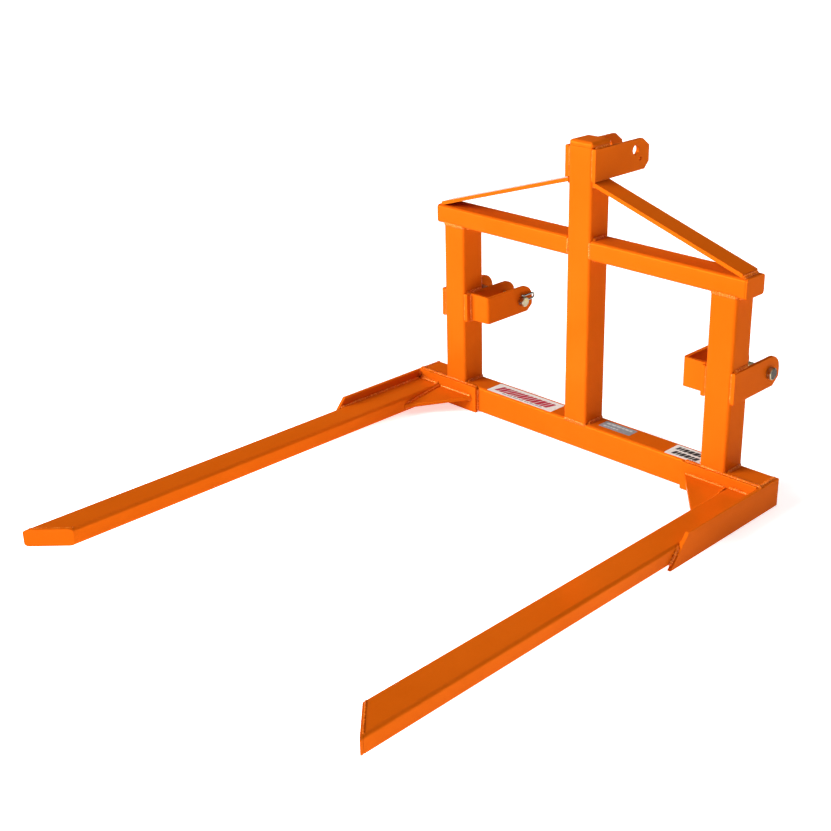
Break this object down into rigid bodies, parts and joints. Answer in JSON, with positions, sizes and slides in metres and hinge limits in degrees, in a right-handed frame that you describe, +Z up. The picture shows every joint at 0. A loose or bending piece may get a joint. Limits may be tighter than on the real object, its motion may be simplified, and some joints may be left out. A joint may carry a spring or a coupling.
{
  "type": "pallet fork attachment",
  "caption": "Three-point-hitch pallet fork: welded tube carriage with two tines, a top-link clevis and two pinned lower clevises.",
  "frame": {"origin": "under the middle of the whole fork's bounding box, at floor level", "axes": "+Y toward the tractor (the tines point to -Y), +Z up, X across the carriage, mirrored about X = 0"},
  "size_m": [0.924, 1.188, 0.652],
  "materials": {
    "frame_paint": "gloss orange powder coat",
    "pin_zinc": "yellow zinc plated",
    "clip_steel": "bright zinc plated spring wire"
  },
  "bodies": {
    "frame": {"mast_tube": "frame_paint", "mast_cap": "frame_paint", "top_link_ear_left": "frame_paint", "top_link_ear_right": "frame_paint", "crossbar_left": "frame_paint", "crossbar_right": "frame_paint", "crossbar_end_cap_left": "frame_paint", "crossbar_end_cap_right": "frame_paint", "brace_left": "frame_paint", "brace_right": "frame_paint", "upright_left": "frame_paint", "upright_right": "frame_paint", "bottom_beam": "frame_paint", "heel_plate_left": "frame_paint", "heel_plate_right": "frame_paint", "side_plate_left": "frame_paint", "side_plate_right": "frame_paint", "inner_gusset_left": "frame_paint", "inner_gusset_right": "frame_paint", "tine_left": "frame_paint", "tine_right": "frame_paint", "tine_tip_plate_left": "frame_paint", "tine_tip_plate_right": "frame_paint", "outer_hitch_ear_left": "frame_paint", "outer_hitch_ear_right": "frame_paint", "middle_hitch_ear_left": "frame_paint", "middle_hitch_ear_right": "frame_paint", "hitch_bracket_left": "frame_paint", "hitch_bracket_right": "frame_paint"},
    "hitch_pin_left": {"hitch_pin_left": "pin_zinc"},
    "hitch_pin_right": {"hitch_pin_right": "pin_zinc"},
    "pin_clip_left": {"pin_clip_left": "clip_steel"},
    "pin_clip_right": {"pin_clip_right": "clip_steel"}
  },
  "joints": [
    {"name": "hitch_pin_spin_left", "type": "hinge", "parent": "frame", "child": "hitch_pin_left", "pos_m": [-0.347, 0.5435, 0.237], "axis": [1, 0, 0], "continuous": true},
    {"name": "hitch_pin_spin_right", "type": "hinge", "parent": "frame", "child": "hitch_pin_right", "pos_m": [0.347, 0.5435, 0.237], "axis": [1, 0, 0], "continuous": true},
    {"name": "pin_clip_pull_left", "type": "slide", "parent": "hitch_pin_left", "child": "pin_clip_left", "axis": [0, 0.9962, 0.0872], "range_m": [0, 0.034]},
    {"name": "pin_clip_pull_right", "type": "slide", "parent": "hitch_pin_right", "child": "pin_clip_right", "axis": [0, 0.9962, 0.0872], "range_m": [0, 0.034]}
  ]
}
